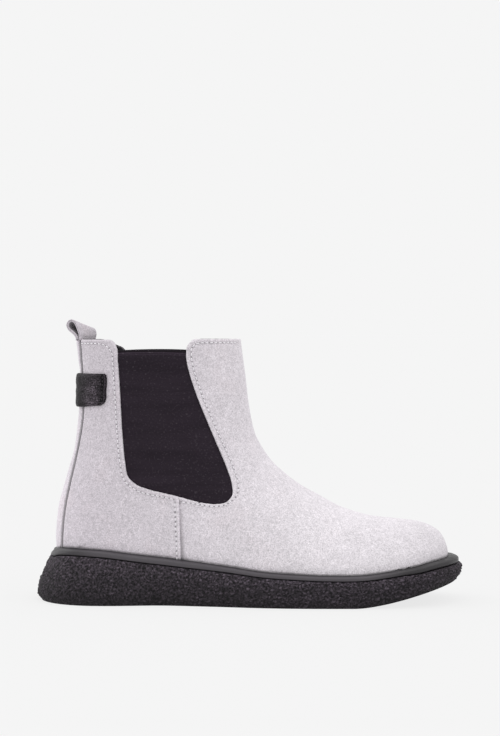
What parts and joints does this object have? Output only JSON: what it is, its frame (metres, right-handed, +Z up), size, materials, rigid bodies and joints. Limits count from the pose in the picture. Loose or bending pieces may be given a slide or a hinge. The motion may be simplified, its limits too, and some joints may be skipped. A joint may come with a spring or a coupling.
{
  "type": "chelsea boot",
  "caption": "Ankle-high slip-on boot with suede panels, elastic side gores, a rear pull loop and a flared crepe sole.",
  "frame": {"origin": "on the ground under the middle of the sole's length, on the heel's centre line", "axes": "+X to the toe, +Y to the inner (medial) side of this right boot, +Z up"},
  "size_m": [0.2856, 0.0967, 0.189],
  "materials": {
    "suede": "short napped suede, pale lilac grey",
    "elastic": "ribbed woven elastic, near black",
    "grained_leather": "pebble grain, satin black",
    "lining_textile": "black woven lining",
    "rand_rubber": "smooth satin dark grey",
    "crepe_rubber": "crumbly crepe texture, matt black",
    "eva_foam": "closed-cell foam, matt",
    "cork_filler": "cork granules, matt",
    "fibre_board": "pressed fibre board, matt",
    "spring_steel": "plain spring steel"
  },
  "bodies": {
    "root": {"outsole": "crepe_rubber", "rand": "rand_rubber", "heel_wedge": "eva_foam", "shank": "spring_steel", "bottom_filler": "cork_filler", "insole_board": "fibre_board", "footbed_foam": "eva_foam", "sock_liner": "lining_textile", "vamp": "suede", "quarter_lateral": "suede", "quarter_medial": "suede", "backstay": "suede", "gore_lateral": "elastic", "gore_medial": "elastic", "vamp_lining": "lining_textile", "quarter_lining": "lining_textile", "heel_counter": "fibre_board", "toe_puff": "fibre_board"},
    "shaft_back": {"quarter_lateral_top": "suede", "quarter_medial_top": "suede", "backstay_top": "suede", "quarter_lining_top": "lining_textile", "heel_tab": "grained_leather", "pull_loop_root": "suede"},
    "loop": {"pull_loop": "suede"}
  },
  "joints": [
    {"name": "shaft_opening", "type": "hinge", "parent": "root", "child": "shaft_back", "pos_m": [-0.1207, 0, 0.098], "axis": [0, -1, 0], "range_deg": [0, 8], "stiffness_Nm_per_rad": 2, "deforming": ["gore_lateral", "gore_medial"]},
    {"name": "pull_loop_flex", "type": "hinge", "parent": "shaft_back", "child": "loop", "pos_m": [-0.1115, 0.002, 0.1761], "axis": [-0.28, -0.96, 0], "range_deg": [-38, 35], "stiffness_Nm_per_rad": 0.003}
  ]
}
